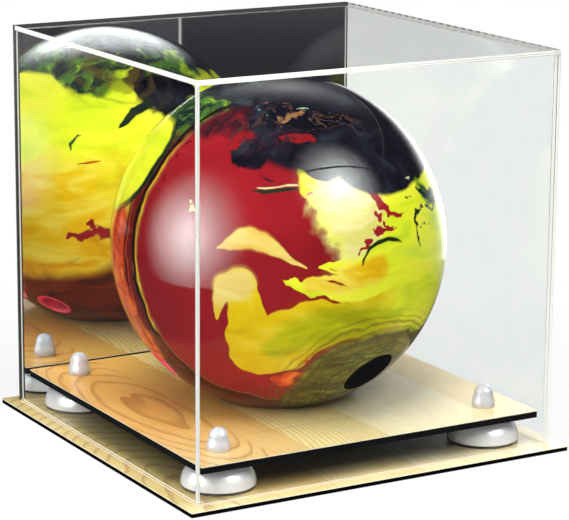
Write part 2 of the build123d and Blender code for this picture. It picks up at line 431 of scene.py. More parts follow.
def oval(turn, rise, half_width, half_height, tilt=0.0, on=calm):
    """One oval pour, in degrees seen from the ball's middle: 0 in its middle and 1 at its rim."""
    depth = 1.9
    turned = Matrix.Rotation(math.radians(turn), 3, "Z")
    turned = turned @ Matrix.Rotation(math.radians(-rise), 3, "X")
    turned = turned @ Matrix.Rotation(math.radians(-tilt), 3, "Y")
    settings = {
        "vector_type": "TEXTURE",
        "Location": way_to(turn, rise),
        "Rotation": turned.to_euler(),
        "Scale": (math.sin(math.radians(half_width)), depth, math.sin(math.radians(half_height))),
    }
    fitted = add(tree, "Mapping", settings, {"Vector": on})
    return add(tree, "VectorMath", {"operation": "LENGTH"}, {0: fitted}).outputs["Value"]


def together(shapes, melt=0.12):
    """Several shapes run into one."""
    joined = shapes[0]
    for shape in shapes[1:]:
        joined = add(tree, "Math", {"operation": "SMOOTH_MIN", 2: melt}, {0: joined, 1: shape})
    return joined


# One straight run of dragged resin, from Start by Along. Gauge is Along over its length squared.
run_tree = bpy.data.node_groups.new("dragged_run", "ShaderNodeTree")
for name in ("Place", "Start", "Along", "Gauge"):
    run_tree.interface.new_socket(name, in_out="INPUT", socket_type="NodeSocketVector")
for name in ("First half", "Growth"):
    run_tree.interface.new_socket(name, in_out="INPUT", socket_type="NodeSocketFloat")
run_tree.interface.new_socket("Reach", in_out="OUTPUT", socket_type="NodeSocketFloat")
given = run_tree.nodes.new("NodeGroupInput").outputs
from_start = add(
    run_tree, "VectorMath", {"operation": "SUBTRACT"}, {0: given["Place"], 1: given["Start"]}
)
share = add(
    run_tree, "VectorMath", {"operation": "DOT_PRODUCT"}, {0: from_start, 1: given["Gauge"]}
)
share = add(run_tree, "Clamp", {}, {"Value": share.outputs["Value"]})
nearest = add(run_tree, "VectorMath", {"operation": "SCALE"}, {0: given["Along"], "Scale": share})
off = add(run_tree, "VectorMath", {"operation": "SUBTRACT"}, {0: from_start, 1: nearest})
off = add(run_tree, "VectorMath", {"operation": "LENGTH"}, {0: off}).outputs["Value"]
half = add(
    run_tree,
    "Math",
    {"operation": "MULTIPLY_ADD"},
    {0: share, 1: given["Growth"], 2: given["First half"]},
)
reach = add(run_tree, "Math", {"operation": "DIVIDE"}, {0: off, 1: half})
run_tree.links.new(reach.outputs[0], run_tree.nodes.new("NodeGroupOutput").inputs["Reach"])


def trail(points, on=calm):
    """A pour dragged along a path of (turn, rise, half width): 0 on the path and 1 at its rim."""
    runs = []
    for (turn_1, rise_1, half_1), (turn_2, rise_2, half_2) in zip(points, points[1:]):
        along = way_to(turn_2, rise_2) - way_to(turn_1, rise_1)
        sizes = {
            "node_tree": run_tree,
            "Start": way_to(turn_1, rise_1),
            "Along": along,
            "Gauge": along / along.length_squared,
            "First half": math.radians(half_1),
            "Growth": math.radians(half_2 - half_1),
        }
        runs.append(add(tree, "Group", sizes, {"Place": on}))
    return together(runs, 0.2)


def inside(room, shape):
    """The part of a shape that lies within another one."""
    return add(tree, "Math", {"operation": "MAXIMUM"}, {0: room, 1: shape})


def pour(below, resin, shape, soft=0.04):
    """Lays a pour over what is below. resin is a colour code or a colour socket."""
    cover = add(
        tree, "MapRange", {**smooth, "From Min": 1 + soft, "From Max": 1 - soft}, {"Value": shape}
    )
    settings, links = {}, {"Fac": cover, "Color1": below}
    if isinstance(resin, str):
        settings["Color2"] = resin
    else:
        links["Color2"] = resin
    return add(tree, "MixRGB", settings, links)


def film_at(below, resin, shape, at, thick, room=None):
    """Draws the thin film that a pour carries near its rim, all round or only in one room."""
    off_rim = add(tree, "Math", {"operation": "SUBTRACT", 1: at}, {0: shape})
    off_rim = add(tree, "Math", {"operation": "ABSOLUTE"}, {0: off_rim})
    off_rim = add(tree, "Math", {"operation": "DIVIDE", 1: thick}, {0: off_rim})
    if room is not None:
        off_rim = inside(room, off_rim)
    return pour(below, resin, off_rim, 0.5)


def mottle(scale, detail, distortion, stops, on=calm):
    """A resin of several shades, as a ramp over stirred noise."""
    settings = {"Scale": scale, "Detail": detail, "Distortion": distortion}
    noise = add(tree, "TexNoise", settings, {"Vector": on})
    ramp = add(tree, "ValToRGB", {}, {"Fac": noise})
    set_stops(ramp, stops)
    return ramp.outputs["Color"]


drawn = add(tree, "Mapping", {"Scale": (1, 1, 3.2)}, {"Vector": calm})
crimson = mottle(1.6, 2, 0.4, [(0.30, "#781318"), (0.70, "#9A1D25"), (0.50, "#8C1920")])
navy = mottle(3.0, 5, 1.6, [(0.36, "#0E0E15"), (0.74, "#2E333E"), (0.56, "#181822")], wild)
lime = mottle(2.2, 3, 0.9, [(0.30, "#E8E23C"), (0.72, "#B8CE20"), (0.48, "#DCE22A")], drawn)
gold = mottle(2.2, 3, 0.9, [(0.30, "#E8D450"), (0.74, "#C8880A"), (0.52, "#DCB210")], drawn)
amber = mottle(2.6, 3, 0.8, [(0.30, "#E0CA38"), (0.74, "#CAA204"), (0.52, "#D8BA08")], drawn)
cream = mottle(2.6, 3, 0.8, [(0.30, "#E2CC7C"), (0.74, "#CA9C40"), (0.52, "#D8BC62")], drawn)
straw = mottle(3.5, 3, 0.9, [(0.30, "#E2D896"), (0.74, "#CCC254"), (0.52, "#D8CE7C")], drawn)
reed = mottle(2.6, 3, 0.8, [(0.32, "#C4C010"), (0.70, "#8E9204"), (0.50, "#A6A808")], drawn)
olive = mottle(5.0, 4, 1.5, [(0.34, "#3A3812"), (0.68, "#7C8226"), (0.50, "#5C5E24")], drawn)
ember = mottle(5.0, 5, 2.0, [(0.30, "#8E2010"), (0.72, "#EE8434"), (0.50, "#D2481C")])
moss_stops = [(0.32, "#10131A"), (0.74, "#B8CC1C"), (0.46, "#1E3028"), (0.60, "#4F7A22")]
moss = mottle(4.0, 5, 2.2, moss_stops, wild)
smoke_stops = [(0.34, "#101016"), (0.80, "#5C6660"), (0.50, "#1E1F28"), (0.66, "#34383E")]
smoke = mottle(4.5, 6, 2.0, smoke_stops, wild)
dusk = mottle(5.0, 4, 1.6, [(0.36, "#16161E"), (0.70, "#6A1A22"), (0.52, "#3A161E")], wild)
# The resin under all the pours, a dark brown-red, shows low on the ball: painted shade and a painted
# reflection of the wood under it.
hull_painted_shade = mottle(3.0, 3, 0.8, [(0.32, "#320E06"), (0.72, "#702A10"), (0.50, "#5E160A")], drawn)

# The unseen back carries on in the same pours
skin = pour(hull_painted_shade, navy, oval(95, 10, 28, 60, 15, wild), 0.05)
back_lime = together([oval(135, 20, 24, 30, -20, wild), oval(120, -25, 20, 14, 0, wild)])
skin = pour(skin, lime, back_lime, 0.03)
skin = pour(skin, olive, oval(120, -50, 30, 26, 0, wild), 0.04)
skin = pour(skin, navy, oval(0, 90, 46, 46, 0, wild), 0.06)

# The side turned to the mirror: lime running down into gold, with a dark foot under it
skin = pour(skin, gold, oval(-110.5, 22, 80, 54.5, 13))
skin = pour(skin, lime, oval(-150, 42, 36, 26, 0, wild), 0.35)
shadow = together([oval(-184, 47, 13, 15, 0, wild), oval(-158, 58, 12, 4, 0, wild)])
skin = pour(skin, navy, shadow, 0.08)
skin = pour(skin, moss, oval(-141, 52, 13, 10, 0, wild), 0.15)
skin = pour(skin, lime, oval(-149, 57, 4.5, 2.6, 0, wild), 0.2)
embers = [
    [(-153, -8, 3), (-148, -9, 3.5), (-142, -12, 2.4), (-136, -14, 0.4)],
    [(-149, -6, 2), (-144, -4, 1.2), (-141, -5, 0.3)],
]
skin = pour(skin, crimson, together([trail(path, wild) for path in embers]), 0.15)
skin = pour(skin, "#A8441C", trail([(-151, 17, 0.3), (-147, 16, 0.5), (-142, 15, 0.1)]), 0.3)
wisp = trail([(-146, 26, 0.2), (-142, 26, 0.5), (-139.5, 23, 0.6), (-140, 20.5, 0.2)])
skin = pour(skin, "#24401E", wisp, 0.3)
tongue = trail([(-174, 38, 2), (-166, 35, 1.8), (-162, 31, 1.3), (-156, 25.5, 0.2)])
skin = pour(skin, "#16241C", tongue, 0.2)

# A column of ember resin, drawn into streaks where the crimson pressed on it
skin = pour(skin, ember, oval(-99, -15, 13, 32, 4), 0.12)
skin = pour(skin, "#C8782A", trail([(-109, 5, 2.4), (-107, -10, 2.6), (-104, -24, 1.5)]), 0.5)
rim = oval(-28.3, 7.2, 57.5, 61.8, -16.8)
streak_at = add(tree, "TexNoise", {"Scale": 4, "Detail": 2}, {"Vector": calm})
streak_at = add(tree, "Math", {"operation": "MULTIPLY_ADD", 1: 0.10}, {0: streak_at, 2: rim})
streaks = add(tree, "TexNoise", {"noise_dimensions": "1D", "Scale": 34, "Detail": 3}, {"W": streak_at})
streak_tone = add(tree, "ValToRGB", {}, {"Fac": streaks})
streak_stops = [(0.38, "#14100F"), (0.66, "#A83A1A"), (0.46, "#4A130E")]
set_stops(streak_tone, streak_stops + [(0.53, "#8E120F"), (0.60, "#2A1210")])
streak_room = trail(
    [(-78, 58, 7), (-88, 40, 5), (-91, 15, 4), (-89, -5, 4), (-84, -22, 3), (-74, -38, 2)]
)
skin = pour(skin, streak_tone.outputs["Color"], streak_room, 0.45)
crown = together([oval(-150, 66, 40, 13, 0, wild), oval(-100, 60, 22, 15, 0, wild)])
skin = pour(skin, moss, crown, 0.10)
skin = pour(skin, crimson, rim, 0.012)
skin = film_at(skin, "#8A5036", rim, 1.0, 0.005)
skin = film_at(skin, "#1C0D0B", rim, 1.03, 0.012)
crack = trail([(-68, 52, 0.1), (-77, 40, 0.5), (-79, 30, 0.3), (-80, 22, 0.1)], ragged)
skin = pour(skin, "#3A0C0E", crack, 0.4)
lobe = oval(-111, 32, 18.4, 20, -47)
skin = pour(skin, lime, lobe)
skin = film_at(skin, "#14261C", lobe, 1.02, 0.06, oval(-78, 20, 24, 45))

# Front: the crescent, the hook and the field of lime and gold that they run into
field = oval(22.3, 21.1, 43.5, 31, -44.9, ragged)
feather = trail([(-17, 4.5, 0.5), (-13, 4.5, 1.8), (-7, 4, 3.2), (2, 2, 5)])
behind_rim = trail([(-27, -1, 0.8), (-19, -2, 3.2), (0, -3, 7)], ragged)
under_field = together([field, oval(30, -8, 30, 18), feather, behind_rim], 0.03)
crescent_path = [(-50.5, 10, 0.4), (-47, 11.3, 1.9), (-43, 13, 3.0), (-39.5, 13.5, 3.3)]
crescent_path += [(-36, 12.8, 3.1), (-32, 10.5, 2.2), (-28.5, 8.2, 1.3), (-25, 6, 0.8), (-21, 4, 0.3)]
crescent = trail(crescent_path)
head = trail(
    [(-43, -1.5, 5.5), (-46.5, -3, 4.6), (-49.2, -6.5, 2.4), (-50, -10.5, 1.3), (-50, -14.5, 0.3)]
)
neck_path = [(-42.5, -1.5, 5.5), (-40.5, -7, 5.2), (-39.5, -13, 6.2)]
neck = trail(neck_path + [(-38.5, -20, 8.6), (-37, -26.5, 9.6), (-29, -24, 11)])
run_out = trail([(-37, -27, 9.2), (-27, -21, 10.5), (-17, -15.5, 9), (-6, -14.8, 6.5), (12, -14, 9)])
under_hook = together([run_out, under_field], 0.02)
skin = pour(skin, lime, under_field, 0.02)
skin = pour(skin, amber, together([run_out, crescent, head, neck], 0.02), 0.03)
pale_part = inside(together([crescent, head], 0.02), oval(-42, 5, 22, 16))
skin = pour(skin, cream, pale_part, 0.3)
reed_run = trail([(-31, -25, 4), (-23, -20, 6), (-12, -16, 6.5), (2, -16, 6.5), (14, -15, 4)])
skin = pour(skin, reed, inside(under_hook, reed_run), 0.5)
skin = pour(skin, lime, oval(24, -9, 14, 12, 0, wild), 0.4)
gold_run = trail([(-19, -1, 2.5), (-10, 0, 4.5), (4, 2, 4.5)])
skin = pour(skin, gold, inside(under_field, gold_run), 0.3)
skin = pour(skin, straw, inside(field, oval(-5, 21, 15, 14, 20)), 0.1)

flames = [
    [(6, 28, 1.2), (8, 25, 2.0), (9.5, 22.3, 2.0), (12.5, 20.8, 1.2), (15, 20.3, 0.2)],
    [(5, 20.5, 0.3), (7.2, 18.2, 1.6), (8.8, 16.4, 0.3)],
    [(10.5, 21.5, 1.2), (13.2, 18.6, 1.4), (16, 17, 1.1), (20, 16.6, 0.1)],
    [(14.5, 22.3, 0.3), (16, 20.6, 0.9), (19, 20.4, 0.1)],
    [(4.4, 15.5, 0.4), (5.6, 14, 1.6), (9, 13.6, 1.1), (16, 13.8, 0.1)],
    [(9.6, 16.2, 0.7), (12, 15, 1.4), (16, 14.7, 0.1)],
    [(-3.5, 7.8, 0.3), (0, 10.5, 0.9), (2, 12, 1.2), (5.5, 12.6, 0.2)],
]
skin = pour(skin, crimson, together([trail(path, ragged) for path in flames], 0.01), 0.12)
red_lines = [
    [(-27, -9, 0.6), (-22, -7, 0.7), (-15, -6.2, 0.5)]
    + [(-9, -8.2, 0.5), (-3, -9.8, 0.4), (3, -10.2, 0.1)],
    [(-24, 0.5, 0.2), (-12, -0.5, 0.5), (-4, -3, 0.5), (3, -4, 0.1)],
    [(-14, 4.3, 0.2), (-8, 2.5, 0.4), (-2, 0.5, 0.1)],
]
skin = pour(skin, "#8E2410", together([trail(path) for path in red_lines], 0.01), 0.3)
arc_path = [(-2, 2, 0.2), (-1, 6, 0.6), (2, 9, 0.7), (6, 10.6, 0.8), (10, 10.8, 0.9)]
skin = pour(skin, "#16280F", trail(arc_path + [(14, 9.4, 0.8), (18, 6.4, 0.3)]), 0.35)

# Upper right: navy, with crimson islands, a lens of it in the crimson, and threads over the top
navy_main = together(
    [oval(28.8, 49.2, 32.5, 22.8, 11.4), oval(40, 66, 50, 26), oval(-12, 40, 8, 8.4)], 0.04
)
skin = pour(skin, dusk, oval(-32, 59, 30, 7, 0, wild), 0.25)
skin = pour(skin, smoke, oval(0, 90, 28, 28, 0, wild), 0.06)
skin = pour(skin, navy, navy_main, 0.03)
lens = together([oval(-41.4, 41.4, 6.6, 5.2, -15, ragged), oval(-33.5, 46, 3.8, 2.4, 0, ragged)], 0.03)
skin = pour(skin, navy, lens, 0.10)
skin = pour(skin, crimson, oval(-22, 48.5, 5, 2.6, 0, ragged), 0.15)
lens_tails = [
    [(-40, 36.5, 0.9), (-36, 34, 0.6), (-31, 33, 0.1)],
    [(-34, 47, 0.6), (-29, 50, 1.0), (-22, 52, 0.8), (-12, 53, 0.3)],
    [(-26, 42, 0.2), (-22, 41, 0.7), (-17, 39, 0.9)],
    [(-24, 37.5, 0.2), (-19, 37, 0.6), (-14, 36, 0.8)],
]
skin = pour(skin, "#241420", together([trail(path) for path in lens_tails], 0.01), 0.4)
moss_patch = oval(38, 22.5, 7, 4.4, 0, wild)
moss_tail = trail([(31, 24.5, 1.0), (35, 23, 1.4), (41, 25, 1.8)], wild)
skin = pour(skin, moss, together([moss_patch, moss_tail]), 0.25)
threads = [
    ("#84603C", [(-33, 55.5, 0.4), (-28, 56.4, 0.8), (-22, 58, 1.3), (-16, 59.2, 0.6), (-12, 60, 0.1)]),
    ("#8E2A1C", [(-24, 58.2, 0.2), (-20.5, 58.4, 0.7), (-17.5, 58.2, 0.1)]),
    ("#7FA08A", [(-19, 61.3, 0.2), (-14, 61.6, 0.9), (-8, 61.4, 0.3)]),
    ("#5F8C7A", [(-45, 61, 0.3), (-40, 59.6, 0.8), (-37, 58.2, 0.1)]),
    ("#3F6A50", [(0, 57, 0.2), (3, 59, 0.5), (7, 59.5, 0.1)]),
    ("#7A4048", [(-48, 62, 0.2), (-38, 64.4, 0.5), (-30, 63.3, 0.4), (-20, 64.2, 0.1)]),
    ("#66666C", [(4, 33.7, 0.1), (10, 35.2, 0.3), (16, 36.8, 0.1)]),
    ("#C0C09A", [(24, 29.2, 0.2), (27, 29, 0.6), (30, 29.2, 0.1)]),
    (
        "#0E2620",
        [(30, 17.4, 0.5), (25.5, 16.8, 0.9), (23.6, 14, 0.8)]
        + [(25, 12, 0.9), (24, 10, 0.7), (25.6, 7.5, 0.8)],
    ),
    ("#12302A", [(29, 17.6, 0.4), (36, 17, 0.7), (42, 18.6, 0.3)]),
    ("#2A4A20", [(26, 11, 0.3), (30, 11.6, 0.5), (34, 12, 0.2)]),
    ("#12302A", [(20, 23.5, 0.2), (22, 21.8, 0.6), (25, 21.5, 0.2)]),
    ("#0E2620", [(30, 23.5, 0.8), (36, 21.5, 1.6), (43, 22.5, 1.4)]),
    ("#E4D08A", [(-63.5, 23.6, 0.4), (-62.5, 22, 0.9), (-60.5, 21, 0.3)]),
]
fold_width = 0.018
fold = add(tree, "TexNoise", {"Scale": 7.0, "Detail": 3, "Distortion": 1.2}, {"Vector": wild})
fold = add(tree, "Math", {"operation": "SUBTRACT", 1: 0.5}, {0: fold})
fold = add(tree, "Math", {"operation": "ABSOLUTE"}, {0: fold})
fold = add(tree, "Math", {"operation": "DIVIDE", 1: fold_width}, {0: fold})
skin = pour(skin, "#50382E", inside(oval(-20, 57, 24, 4.5, 0, wild), fold), 0.5)
skin = pour(skin, "#3A1A22", inside(oval(-38, 50, 10, 6, 0, wild), fold), 0.5)
for code, path in threads:
    skin = pour(skin, code, trail(path, ragged), 0.4)
fine_lines = [
    ("#1A2A1E", [(-42, 28.4, 0.1), (-35, 29.4, 0.6), (-29, 30.2, 0.6), (-22, 30.0, 0.3)]),
    (
        "#C8C890",
        [(-41, 29.4, 0.1), (-35, 30.6, 0.3), (-29, 31.3, 0.35), (-20, 31.0, 0.25), (-10, 30.5, 0.1)],
    ),
    ("#D0766A", [(-25, 27.2, 0.1), (-19, 28.8, 0.5), (-12, 29.4, 0.4), (0, 29.6, 0.2)]),
]
for code, path in fine_lines:
    skin = pour(skin, code, trail(path), 0.4)

# Lower right: olive, streaked with brown along its rim
pool = oval(24.4, -53.8, 38.6, 28.1, -37)
rough_edge = add(tree, "TexNoise", {"Scale": 5, "Detail": 2}, {"Vector": calm})
layers = add(tree, "Math", {"operation": "MULTIPLY_ADD", 1: 0.08}, {0: rough_edge, 2: pool})
layers = add(tree, "TexNoise", {"noise_dimensions": "1D", "Scale": 22, "Detail": 3}, {"W": layers})
layers = add(tree, "MapRange", {"From Min": 0.46, "From Max": 0.62, "To Max": 0.85}, {"Value": layers})
near_rim = add(tree, "MapRange", {"From Min": 0.55, "From Max": 0.95, "To Min": 0.25}, {"Value": pool})
streaked = add(tree, "Math", {"operation": "MULTIPLY"}, {0: layers, 1: near_rim})
streaked = add(tree, "MixRGB", {"Color2": "#3E2C12"}, {"Fac": streaked, "Color1": olive})
skin = pour(skin, streaked, pool, 0.05)
past_rim = add(tree, "MapRange", {"From Min": 1.24, "From Max": 1.0}, {"Value": pool})
strayed = add(tree, "Math", {"operation": "MULTIPLY"}, {0: layers, 1: past_rim})
skin = add(tree, "MixRGB", {"Color2": "#5E4A1A"}, {"Fac": strayed, "Color1": skin})
skin = pour(skin, ember, trail([(-28, -40, 2.5), (-23, -36, 2.6), (-17, -31, 0.6)], wild), 0.3)

surface = add(
    tree,
    "BsdfPrincipled",
    {
        "Roughness": 0.35,
        "IOR": 1.52,
        "Specular IOR Level": 0.0,
        "Coat Weight": 1.0,
        "Coat Roughness": 0.03,
        "Coat IOR": 1.26,
    },
    {"Base Color": skin},
)
add(tree, "OutputMaterial", {}, {"Surface": surface})
dress(["ball_coverstock"], ball_resin)

filler = cast("cast_filler_core", ("#6E6A62", "#8E897E"), 1.5 * mm, 4, {"Roughness": 0.75})
dress(["ball_filler_core"], filler)
weight = cast("cast_weight_block", ("#4C443B", "#665C50"), 2 * mm, 4, {"Roughness": 0.7})
dress(["ball_weight_block"], weight)

# Thumb slug: black urethane, turned and polished flush. Finger inserts: soft pink-red rubber.
slug_gleam = 0.0006
slug_urethane, tree, place = start_material("black_urethane_turned")
swirl = add(tree, "TexNoise", {"Scale": 1 / (6 * mm), "Detail": 3}, {"Vector": place})
tone = add(tree, "MixRGB", near_black, {"Fac": swirl})
matt = add(tree, "BsdfDiffuse", {}, {"Color": tone})
gleam = add(tree, "BsdfGlossy", {"Roughness": 0.4})
surface = add(tree, "MixShader", {0: slug_gleam}, {1: matt, 2: gleam})
add(tree, "OutputMaterial", {}, {"Surface": surface})
dress(["thumb_slug"], slug_urethane)

insert_rubber = cast(
    "soft_rubber_insert",
    ("#D81E48", "#F0406A"),
    5 * mm,
    3,
    {"Roughness": 0.45, "Subsurface Weight": 0.1},
    relief=0.1,
)
dress(["finger_insert_near", "finger_insert_far"], insert_rubber)


# Cover: squares of 3 mm cast acrylic, glued edge to edge, that lift off together with the mirror.
# Their flame-polished edges are painted with a glow: bright bands with thin grey lines in them, for the
# light the sheet pipes along to its edges.
edge_ease = 0.15 * mm
glue_gap = 0.02 * mm
glint_at_grazing = 0.6
glint_face_on = 0.03

clear_acrylic, tree, place = start_material("cast_acrylic_clear")
dust = add(tree, "TexNoise", {"Scale": 1 / (14 * mm), "Detail": 5}, {"Vector": place})
grazing = add(tree, "LayerWeight")
depth = add(tree, "MixRGB", {"Color1": "#FFFFFF", "Color2": "#FBFDFC"}, {"Fac": dust})
leaving = add(tree, "NewGeometry").outputs["Backfacing"]
glint_reach = add(tree, "MapRange", {"To Min": glint_at_grazing, "To Max": 0.0}, {"Value": leaving})
glint = add(tree, "Math", {"operation": "POWER", 1: 5.0}, {0: grazing.outputs["Facing"]})
glint = add(
    tree, "Math", {"operation": "MULTIPLY_ADD", 2: glint_face_on}, {0: glint, 1: glint_reach}
)
through = add(tree, "BsdfTransparent", {}, {"Color": depth})
mirrored = add(tree, "BsdfGlossy", {"Color": "#FFFFFF", "Roughness": 0.0})
surface = add(tree, "MixShader", {}, {0: glint, 1: through, 2: mirrored})
add(tree, "OutputMaterial", {}, {"Surface": surface})


def start_edge(name, drift_size, drift):
    """A new edge material: its tree, its place, how far through the sheet, and that with a drift."""
    made, tree, place = start_material(name)
    edge_map = add(tree, "UVMap", {"uv_map": "edge"})
    through_sheet = add(tree, "SeparateXYZ", {}, {"Vector": edge_map}).outputs["Y"]
    wander = add(tree, "TexNoise", {"Scale": 1 / drift_size, "Detail": 3}, {"Vector": place})
    drifted = add(tree, "Math", {"operation": "MULTIPLY_ADD", 1: drift, 2: -drift / 2}, {0: wander})
    drifted = add(tree, "Math", {"operation": "ADD"}, {0: drifted, 1: through_sheet})
    return made, tree, place, through_sheet, drifted


glow_painted_edge, tree, place, through_sheet, drifted = start_edge(
    "cast_acrylic_edge_painted_glow", 30 * mm, 0.16
)
parts = add(tree, "SeparateXYZ", {}, {"Vector": place})
along_x, along_y, along_z = (parts.outputs[axis] for axis in "XYZ")
bands = add(tree, "ValToRGB", {}, {"Fac": drifted})
band_stops = [
    (0.00, "#85866E"),
    (0.16, "#F4F4E8"),
    (0.36, "#FFFFFA"),
    (0.50, "#A2A38C"),
    (0.62, "#FDFDF6"),
    (0.84, "#FFFFFF"),
    (1.00, "#8C8D78"),
]
set_stops(bands, band_stops)
# Painted highlight: the top edges are lightened towards white, most to the left, for the overhead light
# they catch whole
cover_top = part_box("cover_top_panel")[1]
on_top = add(
    tree,
    "MapRange",
    {"From Min": cover_top.z - 5 * mm, "From Max": cover_top.z - 3 * mm, "To Max": 0.8},
    {"Value": along_z},
)
painted_glare = add(
    tree, "MapRange", {"From Min": 0.06, "From Max": -0.02, "To Min": 0.2}, {"Value": along_x}
)
painted_glare = add(tree, "Math", {"operation": "MULTIPLY"}, {0: on_top, 1: painted_glare})
tone = add(tree, "MixRGB", {"Color2": "#FFFFFC"}, {"Fac": painted_glare, "Color1": bands.outputs["Color"]})
# The ones on the far right are a pale painted glow, with a grey outline that fades towards the foot
off_middle = add(tree, "Math", {"operation": "SUBTRACT", 1: 0.5}, {0: through_sheet})
off_middle = add(tree, "Math", {"operation": "ABSOLUTE"}, {0: off_middle})
outline = add(tree, "MapRange", {"From Min": 0.32, "From Max": 0.46}, {"Value": off_middle})
height_fade = add(
    tree, "MapRange", {"From Min": 0.02, "From Max": 0.20, "To Min": 0.2}, {"Value": along_z}
)
outline = add(tree, "Math", {"operation": "MULTIPLY"}, {0: outline, 1: height_fade})
far_tone = add(tree, "MixRGB", {"Color1": "#F6F6F1", "Color2": "#7E7E6C"}, {"Fac": outline})
# Saw marks left in the far top edge show as a row of dark dashes
dash_pitch = 8.5 * mm
dashes = add(tree, "Math", {"operation": "MULTIPLY", 1: 1 / dash_pitch}, {0: along_y})
dashes = add(tree, "Math", {"operation": "FRACT"}, {0: dashes})
dashes = add(tree, "MapRange", {"From Min": 0.35, "From Max": 0.5}, {"Value": dashes})
dash_reach = add(
    tree, "MapRange", {"From Min": -0.07, "From Max": -0.03, "To Min": 0.5}, {"Value": along_y}
)
dashes = add(tree, "Math", {"operation": "MULTIPLY"}, {0: dashes, 1: dash_reach})
upper = add(tree, "MapRange", {"From Min": 0.55, "From Max": 0.7}, {"Value": through_sheet})
dashes = add(tree, "Math", {"operation": "MULTIPLY"}, {0: dashes, 1: upper})
dash_tone = add(tree, "MixRGB", {"Color1": "#D6D6D2", "Color2": "#2E2E2A"}, {"Fac": dashes})
far_tone = add(tree, "MixRGB", {}, {"Fac": on_top, "Color1": far_tone, "Color2": dash_tone})
far_side = add(
    tree,
    "MapRange",
    {"From Min": cover_top.x - 6 * mm, "From Max": cover_top.x - 3 * mm, "To Max": 0.95},
    {"Value": along_x},
)
tone = add(tree, "MixRGB", {}, {"Fac": far_side, "Color1": tone, "Color2": far_tone})
# The ones glued to the mirror are painted dark, a painted reflection of the mirror, with one pale line
# below the top panel
glue_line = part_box("mirror_back_panel")[0].y - 0.2 * mm
at_mirror = add(tree, "Math", {"operation": "GREATER_THAN", 1: glue_line}, {0: along_y})
middle_line = add(tree, "MapRange", {"From Min": 0.20, "From Max": 0.08}, {"Value": off_middle})
below_top = add(tree, "Math", {"operation": "LESS_THAN", 1: cover_top.z - 4 * mm}, {0: along_z})
middle_line = add(tree, "Math", {"operation": "MULTIPLY"}, {0: middle_line, 1: below_top})
painted_mirror_reflection = add(tree, "MixRGB", {"Color1": "#232325", "Color2": "#E4E4DE"}, {"Fac": middle_line})
dim = add(tree, "Math", {"operation": "MULTIPLY", 1: 0.97}, {0: at_mirror})
tone = add(tree, "MixRGB", {}, {"Fac": dim, "Color1": tone, "Color2": painted_mirror_reflection})
# Down at the board they stay clear between two thin lines of painted glow
sheet_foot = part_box("cover_front_panel")[0].z
at_foot = add(
    tree,
    "MapRange",
    {"From Min": sheet_foot + 1.5 * mm, "From Max": sheet_foot + 0.6 * mm},
    {"Value": along_z},
)
tone = add(tree, "MixRGB", {"Color2": "#FFF8EC"}, {"Fac": at_foot, "Color1": tone})
# Painted glow: most of the edge's colour is given out as light, for the light the sheet pipes along to
# its edges
painted_glow_share = 0.65
shine_share = 0.03
frosted = add(tree, "BsdfDiffuse", {}, {"Color": tone})
painted_glow = add(tree, "Emission", {}, {"Color": tone})
body = add(tree, "MixShader", {0: painted_glow_share}, {1: frosted, 2: painted_glow})
shine = add(tree, "BsdfGlossy", {"Roughness": 0.1})
body = add(tree, "MixShader", {0: shine_share}, {1: body, 2: shine})
clear_part = add(
    tree,
    "MapRange",
    {"From Min": 0.28, "From Max": 0.16, "To Min": 0.05, "To Max": 0.9},
    {"Value": off_middle},
)
clear_part = add(tree, "Math", {"operation": "MULTIPLY"}, {0: clear_part, 1: at_foot})
clear = add(tree, "BsdfTransparent", {"Color": "#FFF4E0"})
surface = add(tree, "MixShader", {}, {0: clear_part, 1: body, 2: clear})
add(tree, "OutputMaterial", {}, {"Surface": surface})


def cut_sheet(name, node, body, finishes):
    """One sheet with eased edges. Its broad faces take the first finish, its edges the second."""
    broad = 0.99
    low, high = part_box(node)
    low = low + Vector([glue_gap] * 3)
    high = high - Vector([glue_gap] * 3)
    size = high - low
    thin = min(range(3), key=lambda axis: size[axis])
    shape = bmesh.new()
    bmesh.ops.create_cube(shape, size=1)
    for vertex in shape.verts:
        vertex.co = Vector([low[a] + (vertex.co[a] + 0.5) * size[a] for a in range(3)])
    bmesh.ops.bevel(
        shape, geom=shape.edges[:], offset=edge_ease, segments=2, profile=0.5, affect="EDGES"
    )
    bmesh.ops.recalc_face_normals(shape, faces=shape.faces[:])
    edge_map = shape.loops.layers.uv.new("edge")
    for face in shape.faces:
        face.material_index = 0 if abs(face.normal[thin]) > broad else 1
        for corner in face.loops:
            place = corner.vert.co
            corner[edge_map].uv = (place[(thin + 1) % 3], (place[thin] - low[thin]) / size[thin])
    mesh = bpy.data.meshes.new(name)
    shape.to_mesh(mesh)
    shape.free()
    for finish in finishes:
        mesh.materials.append(finish)
    made = bpy.data.objects.new(name, mesh)
    bpy.context.scene.collection.objects.link(made)
    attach(made, body)
    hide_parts(node)


panel_finishes = [clear_acrylic, glow_painted_edge]
for side in ("front", "left", "right", "top"):
    cut_sheet(
        f"{side}_panel_sheet", f"cover_{side}_panel", "cover", panel_finishes
    )


